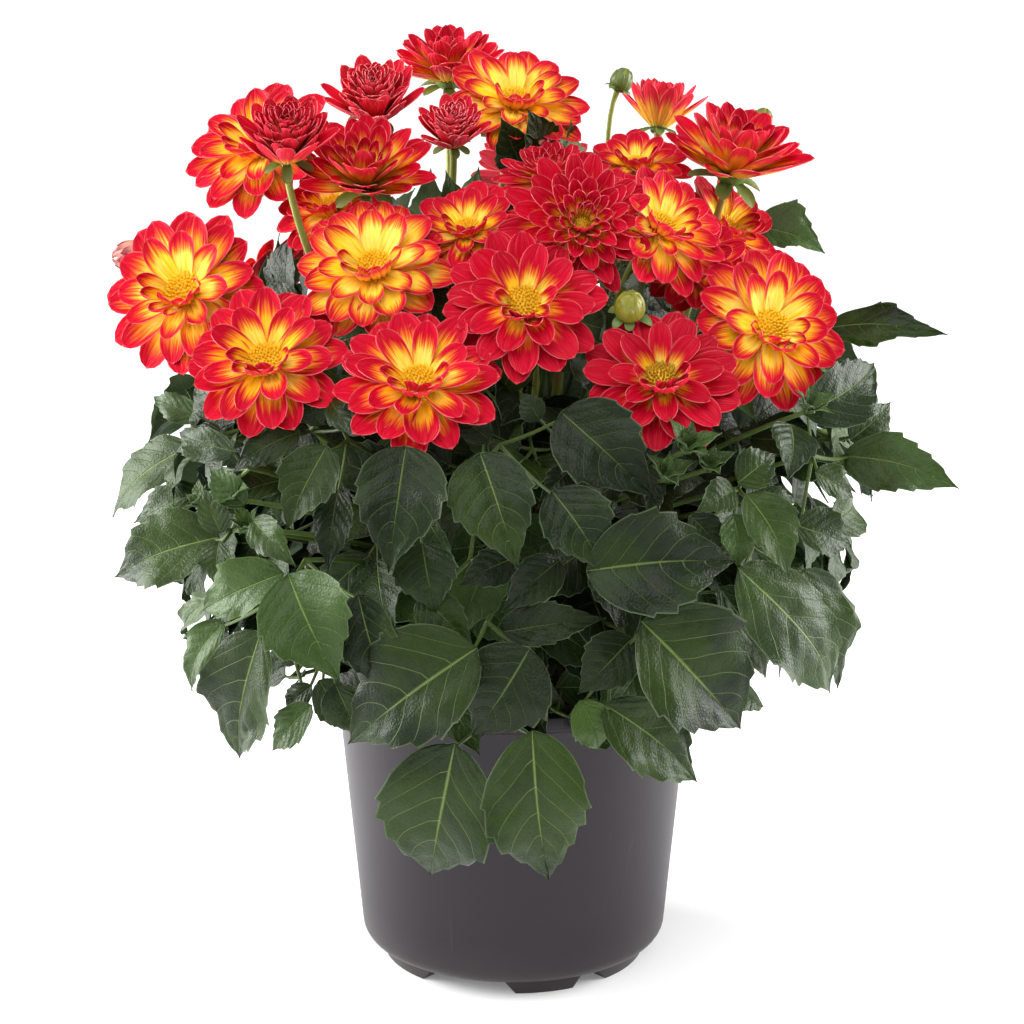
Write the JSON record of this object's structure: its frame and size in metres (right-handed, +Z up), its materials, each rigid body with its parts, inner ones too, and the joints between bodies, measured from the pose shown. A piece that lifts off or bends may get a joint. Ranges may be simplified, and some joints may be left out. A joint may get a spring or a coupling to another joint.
{
  "type": "potted dahlia",
  "caption": "Bushy potted dahlia with two-coloured red and yellow double blooms and dark serrated leaves, in a round flared nursery pot on notched feet.",
  "frame": {"origin": "the middle of the circle that the pot stands on, at the level of its feet", "axes": "+Z up along the pot's axis, -Y towards the front, +X to the right as seen from the front"},
  "size_m": [0.4412, 0.4397, 0.4859],
  "materials": {
    "pot_plastic": "semi-matte injection-moulded polypropylene",
    "potting_soil": "crumbly peat and bark",
    "green_stem": "smooth green stem with reddish streaks",
    "petals": "soft satin petals, crimson with a golden-yellow base",
    "bud_scales": "smooth bud scales",
    "leaf_blade": "dark green blades with a waxy sheen and pale veins"
  },
  "bodies": {
    "root": {"bloom_01": "petals", "bloom_02": "petals", "bloom_03": "petals", "bloom_04": "petals", "bloom_05": "petals", "bloom_06": "petals", "bloom_07": "petals", "bloom_08": "petals", "bloom_09": "petals", "bloom_10": "petals", "bloom_11": "petals", "bloom_12": "petals", "bloom_13": "petals", "bloom_14": "petals", "bloom_15": "petals", "bloom_16": "petals", "bloom_17": "petals", "bloom_18": "petals", "bloom_19": "petals", "bloom_20": "petals", "bloom_21": "petals", "bloom_22": "petals", "bloom_23": "petals", "bloom_24": "petals", "bloom_25": "petals", "bloom_26": "petals", "bloom_27": "petals", "bloom_28": "petals", "bloom_29": "petals", "bloom_30": "petals", "bud_1": "bud_scales", "bud_2": "bud_scales", "bud_3": "bud_scales", "bud_4": "bud_scales", "bud_5": "bud_scales", "leaf_01": "leaf_blade", "leaf_02": "leaf_blade", "leaf_03": "leaf_blade", "leaf_04": "leaf_blade", "leaf_05": "leaf_blade", "leaf_06": "leaf_blade", "leaf_07": "leaf_blade", "leaf_08": "leaf_blade", "leaf_09": "leaf_blade", "leaf_10": "leaf_blade", "leaf_11": "leaf_blade", "leaf_12": "leaf_blade", "leaf_13": "leaf_blade", "leaf_14": "leaf_blade", "leaf_15": "leaf_blade", "leaf_16": "leaf_blade", "leaf_17": "leaf_blade", "leaf_18": "leaf_blade", "leaf_19": "leaf_blade", "leaf_20": "leaf_blade", "pot": "pot_plastic", "soil": "potting_soil", "stem_1": "green_stem", "stem_2": "green_stem", "stem_3": "green_stem"}
  },
  "joints": []
}
